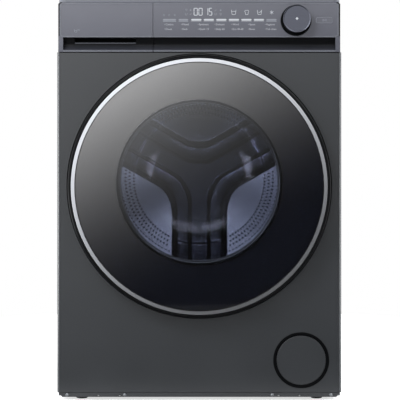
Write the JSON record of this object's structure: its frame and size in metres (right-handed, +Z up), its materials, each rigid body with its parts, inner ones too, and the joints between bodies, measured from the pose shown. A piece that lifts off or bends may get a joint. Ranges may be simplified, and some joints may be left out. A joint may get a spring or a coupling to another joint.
{
  "type": "front load washing machine",
  "caption": "Graphite front-load washing machine with a wide round smoked-glass door in a silver ring, a grey console with a detergent drawer, display, knob and start button.",
  "frame": {"origin": "on the floor at the middle of the footprint", "axes": "+X is to the right seen from the front, +Y runs from the front to the back, +Z is up"},
  "size_m": [0.6, 0.6, 0.85],
  "materials": {
    "body_paint": "dark graphite grey, smooth satin powder coat",
    "inner_steel": "galvanised sheet",
    "console_plastic": "slate grey with a fine metallic grain, lighter at the left",
    "black_plastic": "fine satin",
    "worktop_plastic": "satin",
    "worktop_sheet": "satin",
    "knob_metal": "anodised slate grey",
    "button_plastic": "satin",
    "trim_metal": "satin silver",
    "door_glass": "smoked, polished",
    "bowl_glass": "clear, polished",
    "door_plastic": "black, polished",
    "gasket_rubber": "matt",
    "hose_rubber": "matt",
    "drum_steel": "perforated, bright",
    "lifter_plastic": "satin",
    "tub_plastic": "moulded polypropylene",
    "cast_weight": "rough cast",
    "spider_aluminium": "cast",
    "hinge_steel": "zinc plated",
    "screw_steel": "plated",
    "white_plastic": "moulded",
    "grey_plastic": "moulded",
    "blue_plastic": "moulded",
    "board_green": "circuit board",
    "motor_steel": "laminations and steel cup",
    "stator_metal": "copper windings on steel teeth"
  },
  "bodies": {
    "cabinet": {"side_panel_left": "body_paint", "side_panel_right": "body_paint", "front_panel": "body_paint", "front_base_rail": "body_paint", "cabinet_screws": "screw_steel", "rear_panel": "inner_steel", "rear_cover": "inner_steel", "base_frame": "grey_plastic", "worktop_frame": "worktop_plastic", "worktop_board": "worktop_sheet", "top_braces": "inner_steel", "rear_plugs": "black_plastic", "foot_locknuts": "screw_steel", "console_fascia": "console_plastic", "console_frame": "black_plastic", "control_board": "board_green", "dispenser_housing": "white_plastic", "dispenser_hose": "hose_rubber", "inlet_valve": "white_plastic", "water_hoses": "hose_rubber", "hinge_bracket": "hinge_steel", "hinge_pin": "hinge_steel", "door_lock": "white_plastic", "door_gasket": "gasket_rubber", "suspension_springs": "hinge_steel", "damper_cylinders": "black_plastic", "sump_hose": "hose_rubber", "drain_pump": "white_plastic", "filter_frame": "black_plastic"},
    "tub": {"tub_front": "tub_plastic", "tub_rear": "tub_plastic", "tub_bolts": "screw_steel", "counterweights": "cast_weight", "damper_rods": "hinge_steel", "heater": "hinge_steel", "drum_bearings": "screw_steel", "motor_stator": "stator_metal"},
    "drum": {"drum_shell": "drum_steel", "drum_lifters": "lifter_plastic", "drum_spider": "spider_aluminium", "motor_rotor": "motor_steel"},
    "door": {"door_glass_cover": "door_glass", "door_trim_ring": "trim_metal", "door_outer_frame": "door_plastic", "door_inner_frame": "black_plastic", "door_bowl": "bowl_glass", "hinge_arm": "hinge_steel"},
    "hook": {"door_hook": "hinge_steel"},
    "drawer": {"drawer_front": "console_plastic", "drawer_tray": "grey_plastic", "siphon_cap": "blue_plastic"},
    "knob": {"program_knob": "knob_metal"},
    "button": {"start_button": "button_plastic"},
    "cover": {"filter_cover": "body_paint"},
    "filter": {"pump_filter": "blue_plastic"},
    "impeller": {"pump_impeller": "black_plastic"},
    "foot_fl": {"foot_front_left": "hose_rubber"},
    "foot_fr": {"foot_front_right": "hose_rubber"},
    "foot_rl": {"foot_rear_left": "hose_rubber"},
    "foot_rr": {"foot_rear_right": "hose_rubber"}
  },
  "joints": [
    {"name": "tub_bounce", "type": "slide", "parent": "cabinet", "child": "tub", "axis": [0, 0, 1], "range_m": [-0.006, 0.006], "stiffness_N_per_m": 12000, "springref_m": 0.03063, "deforming": ["suspension_springs", "door_gasket", "sump_hose", "dispenser_hose"]},
    {"name": "drum_spin", "type": "hinge", "parent": "tub", "child": "drum", "pos_m": [0, 0.2, 0.46], "axis": [0, 1, 0], "continuous": true},
    {"name": "door_swing", "type": "hinge", "parent": "cabinet", "child": "door", "pos_m": [-0.252, -0.28, 0.452], "axis": [0, 0, -1], "range_deg": [0, 120]},
    {"name": "hook_pivot", "type": "hinge", "parent": "door", "child": "hook", "pos_m": [0.233, -0.272, 0.452], "axis": [0, 0, 1], "range_deg": [-8, 0], "stiffness_Nm_per_rad": 0.4, "springref_deg": 2.86},
    {"name": "drawer_pull", "type": "slide", "parent": "cabinet", "child": "drawer", "axis": [0, -1, 0], "range_m": [0, 0.17]},
    {"name": "knob_turn", "type": "hinge", "parent": "cabinet", "child": "knob", "pos_m": [0.2047, -0.27, 0.803], "axis": [0, 1, 0], "continuous": true},
    {"name": "button_press", "type": "slide", "parent": "cabinet", "child": "button", "axis": [0, 1, 0], "range_m": [0, 0.0015], "stiffness_N_per_m": 600, "springref_m": -0.0005},
    {"name": "cover_pull", "type": "slide", "parent": "cabinet", "child": "cover", "axis": [0, -1, 0], "range_m": [0, 0.06]},
    {"name": "filter_turn", "type": "hinge", "parent": "cabinet", "child": "filter", "pos_m": [0.215, -0.22, 0.0846], "axis": [0, 1, 0], "continuous": true},
    {"name": "impeller_spin", "type": "hinge", "parent": "cabinet", "child": "impeller", "pos_m": [0.215, -0.14, 0.0846], "axis": [0, 1, 0], "continuous": true},
    {"name": "foot_fl_turn", "type": "hinge", "parent": "cabinet", "child": "foot_fl", "pos_m": [-0.25, -0.227, 0.02], "axis": [0, 0, 1], "continuous": true},
    {"name": "foot_fr_turn", "type": "hinge", "parent": "cabinet", "child": "foot_fr", "pos_m": [0.25, -0.227, 0.02], "axis": [0, 0, 1], "continuous": true},
    {"name": "foot_rl_turn", "type": "hinge", "parent": "cabinet", "child": "foot_rl", "pos_m": [-0.25, 0.254, 0.02], "axis": [0, 0, 1], "continuous": true},
    {"name": "foot_rr_turn", "type": "hinge", "parent": "cabinet", "child": "foot_rr", "pos_m": [0.25, 0.254, 0.02], "axis": [0, 0, 1], "continuous": true}
  ]
}
